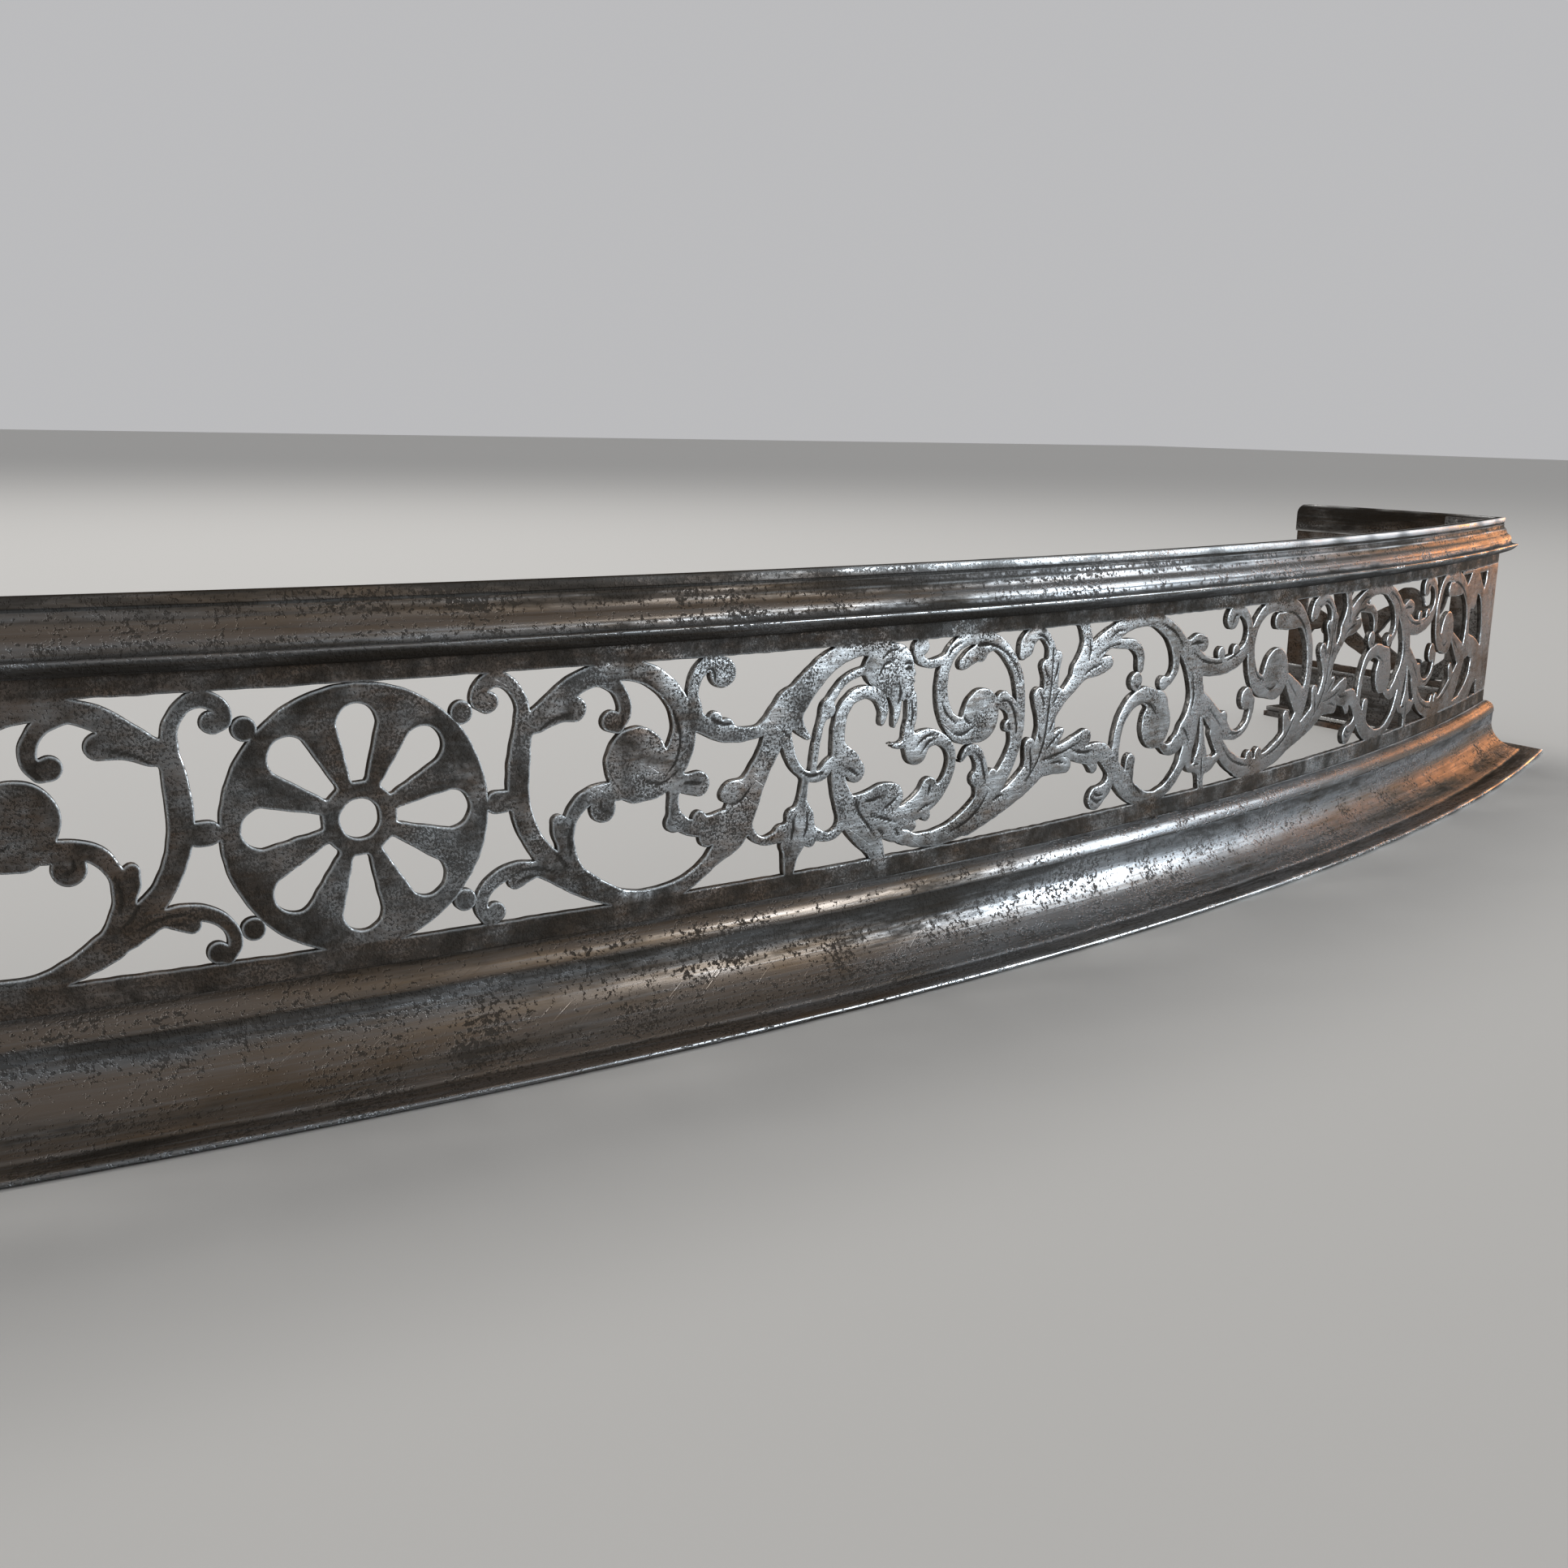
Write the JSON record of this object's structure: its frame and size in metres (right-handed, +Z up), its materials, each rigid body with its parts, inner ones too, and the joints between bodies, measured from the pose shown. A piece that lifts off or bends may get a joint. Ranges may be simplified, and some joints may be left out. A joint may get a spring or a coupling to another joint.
{
  "type": "fire fender",
  "caption": "Bow-fronted hearth fender: a pierced scroll frieze in steel between a moulded top rail and a flared base moulding, with short straight returns at the ends.",
  "frame": {"origin": "centre of the footprint box at floor level", "axes": "X along the width, Y from the room towards the chimney breast, Z up; the bowed front faces -Y"},
  "size_m": [1.4516, 0.3275, 0.1305],
  "materials": {
    "frieze_steel": "old hand-polished steel with pits, scratches and brown patina",
    "moulding_steel": "old polished steel, darkened in the hollows",
    "iron": "dark plain iron"
  },
  "bodies": {
    "root": {"front_frieze": "frieze_steel", "left_frieze": "frieze_steel", "right_frieze": "frieze_steel", "front_top_rail": "moulding_steel", "left_top_rail": "moulding_steel", "right_top_rail": "moulding_steel", "front_base_moulding": "moulding_steel", "left_base_moulding": "moulding_steel", "right_base_moulding": "moulding_steel", "front_foot_plate": "iron", "left_foot_plate": "iron", "right_foot_plate": "iron", "left_upper_bracket": "iron", "right_upper_bracket": "iron", "left_lower_bracket": "iron", "right_lower_bracket": "iron", "upper_bracket_screws": "iron", "lower_bracket_rivets": "iron", "foot_plate_rivets": "iron"}
  },
  "joints": []
}
